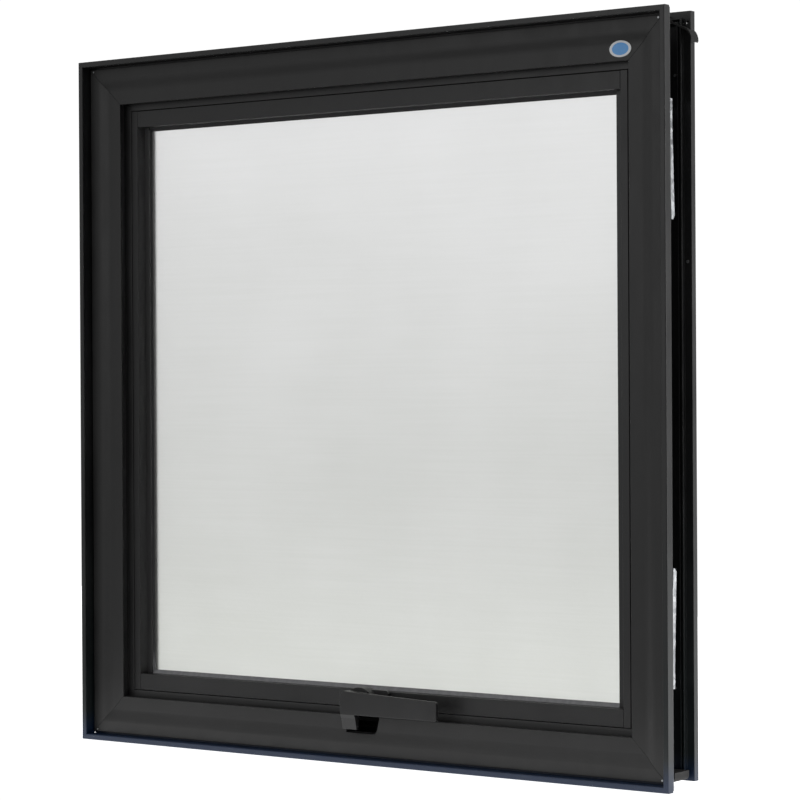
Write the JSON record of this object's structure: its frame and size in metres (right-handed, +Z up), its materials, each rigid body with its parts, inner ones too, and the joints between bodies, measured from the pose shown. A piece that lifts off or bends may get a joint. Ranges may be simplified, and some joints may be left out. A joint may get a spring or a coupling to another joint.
{
  "type": "top-hung projecting window",
  "caption": "Square black top-hung window with a glazed sash that swings out on side stays, a cam lever handle on its bottom rail and fold-out masonry straps.",
  "frame": {"origin": "bottom centre of the window: middle of the width, half way through the depth, underside of the frame", "axes": "+X to the right seen from the room, +Y out to the weather side, +Z up"},
  "size_m": [0.6068, 0.046, 0.6],
  "materials": {
    "frame_paint": "satin black powder coat",
    "trim_paint": "satin black powder coat",
    "sash_paint": "satin black powder coat",
    "bead_paint": "satin black powder coat",
    "handle_paint": "satin black paint on cast metal",
    "glass": "clear float glass",
    "black_rubber": "matte black rubber",
    "grey_sealant": "cured sealant",
    "galvanised": "galvanised sheet",
    "stainless": "brushed stainless",
    "zinc": "bright zinc plating",
    "keeper_steel": "blackened steel",
    "mill_aluminium": "mill finish",
    "black_nylon": "moulded nylon",
    "label_film": "plain printed film"
  },
  "bodies": {
    "frame": {"frame_head": "frame_paint", "frame_sill": "frame_paint", "frame_jamb_left": "frame_paint", "frame_jamb_right": "frame_paint", "trim_head": "trim_paint", "trim_sill": "trim_paint", "trim_left": "trim_paint", "trim_right": "trim_paint", "frame_corner_cleats": "mill_aluminium", "trim_pins": "zinc", "frame_seal": "black_rubber", "latch_keeper": "keeper_steel", "keeper_screws": "zinc", "sealing_flaps": "black_rubber", "corner_plugs": "grey_sealant", "trim_label": "label_film", "flange_screws": "zinc", "anchor_roots": "galvanised", "anchor_rivets": "galvanised", "stay_track_left": "stainless", "stay_track_right": "stainless", "stay_pivot_left": "stainless", "stay_pivot_right": "stainless", "track_screws": "zinc"},
    "sash": {"sash_top_rail": "sash_paint", "sash_bottom_rail": "sash_paint", "sash_stile_left": "sash_paint", "sash_stile_right": "sash_paint", "sash_corner_cleats": "mill_aluminium", "glass_pane": "glass", "glazing_seal_inner": "black_rubber", "glazing_seal_outer": "black_rubber", "setting_blocks": "black_nylon", "bead_bottom": "bead_paint", "bead_top": "bead_paint", "bead_left": "bead_paint", "bead_right": "bead_paint", "stay_bar_left": "stainless", "stay_bar_right": "stainless", "stay_pins_left": "stainless", "stay_pins_right": "stainless", "bar_screws": "zinc", "handle_base": "handle_paint", "handle_base_screws": "zinc", "handle_washer": "black_nylon"},
    "arm_right": {"stay_arm_right": "stainless"},
    "arm_left": {"stay_arm_left": "stainless"},
    "shoe_right": {"stay_shoe_right": "black_nylon"},
    "shoe_left": {"stay_shoe_left": "black_nylon"},
    "handle": {"handle_lever": "handle_paint", "handle_pin": "stainless"},
    "strap_top_right": {"anchor_strap_top_right": "galvanised"},
    "strap_bottom_right": {"anchor_strap_bottom_right": "galvanised"},
    "strap_top_left": {"anchor_strap_top_left": "galvanised"},
    "strap_bottom_left": {"anchor_strap_bottom_left": "galvanised"}
  },
  "joints": [
    {"name": "stay_arm_right", "type": "hinge", "parent": "frame", "child": "arm_right", "pos_m": [0.2694, 0.009, 0.328], "axis": [-1, 0, 0], "range_deg": [0, 60]},
    {"name": "sash_pivot_right", "type": "hinge", "parent": "arm_right", "child": "sash", "pos_m": [0.2694, 0.009, 0.448], "axis": [1, 0, 0], "range_deg": [0, 120]},
    {"name": "stay_arm_left", "type": "hinge", "parent": "frame", "child": "arm_left", "pos_m": [-0.2694, 0.009, 0.328], "axis": [-1, 0, 0], "range_deg": [0, 60]},
    {"name": "shoe_pivot_right", "type": "hinge", "parent": "sash", "child": "shoe_right", "pos_m": [0.2734, 0.009, 0.568], "axis": [-1, 0, 0], "range_deg": [0, 60]},
    {"name": "shoe_pivot_left", "type": "hinge", "parent": "sash", "child": "shoe_left", "pos_m": [-0.2734, 0.009, 0.568], "axis": [-1, 0, 0], "range_deg": [0, 60]},
    {"name": "handle_turn", "type": "hinge", "parent": "sash", "child": "handle", "pos_m": [-0.0024, -0.009, 0.0515], "axis": [0, -1, 0], "range_deg": [0, 90]},
    {"name": "fold_strap_top_right", "type": "hinge", "parent": "frame", "child": "strap_top_right", "pos_m": [0.2911, -0.0025, 0.513], "axis": [0, -1, 0], "range_deg": [0, 88.7]},
    {"name": "fold_strap_bottom_right", "type": "hinge", "parent": "frame", "child": "strap_bottom_right", "pos_m": [0.2911, -0.0025, 0.095], "axis": [0, 1, 0], "range_deg": [0, 88.7]},
    {"name": "fold_strap_top_left", "type": "hinge", "parent": "frame", "child": "strap_top_left", "pos_m": [-0.2911, -0.0025, 0.513], "axis": [0, 1, 0], "range_deg": [0, 88.7]},
    {"name": "fold_strap_bottom_left", "type": "hinge", "parent": "frame", "child": "strap_bottom_left", "pos_m": [-0.2911, -0.0025, 0.095], "axis": [0, -1, 0], "range_deg": [0, 88.7]}
  ],
  "couplings": [
    {"joint": "sash_pivot_right", "follows": "stay_arm_right", "ratio": 2},
    {"joint": "stay_arm_left", "follows": "stay_arm_right", "ratio": 1},
    {"joint": "shoe_pivot_right", "follows": "stay_arm_right", "ratio": 1},
    {"joint": "shoe_pivot_left", "follows": "stay_arm_right", "ratio": 1}
  ]
}
